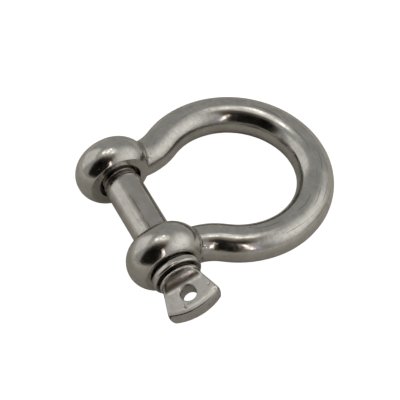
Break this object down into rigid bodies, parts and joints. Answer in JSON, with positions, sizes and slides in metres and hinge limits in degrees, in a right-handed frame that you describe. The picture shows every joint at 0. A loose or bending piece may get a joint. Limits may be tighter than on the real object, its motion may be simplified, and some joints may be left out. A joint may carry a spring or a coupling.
{
  "type": "bow shackle",
  "caption": "Bow shackle: a round bar bent to a bow with two ball-like eyes, closed by a threaded pin whose flattened head has an eye of its own.",
  "frame": {"origin": "middle of the jaw, on the pin's axis", "axes": "+X along the pin towards its head, +Y from the pin to the crown of the bow, +Z square to the plane of the bow"},
  "size_m": [0.0634, 0.0678, 0.0212],
  "materials": {
    "bow_steel": "tumbled and polished forged stainless steel",
    "pin_steel": "polished stainless steel with lengthwise draw lines on the shank",
    "collar_steel": "turned and polished stainless steel"
  },
  "bodies": {
    "bow": {"bow": "bow_steel"},
    "collar": {"pin_collar": "collar_steel"},
    "pin": {"screw_pin": "pin_steel"}
  },
  "joints": [
    {"name": "pin_travel", "type": "slide", "parent": "bow", "child": "collar", "axis": [1, 0, 0], "range_m": [-0.0005, 0.0435]},
    {"name": "pin_turn", "type": "hinge", "parent": "collar", "child": "pin", "pos_m": [0, 0, 0], "axis": [1, 0, 0], "range_deg": [-121, 10441]}
  ],
  "couplings": [
    {"joint": "pin_turn", "follows": "pin_travel", "rad_per_m": 4188.8}
  ]
}
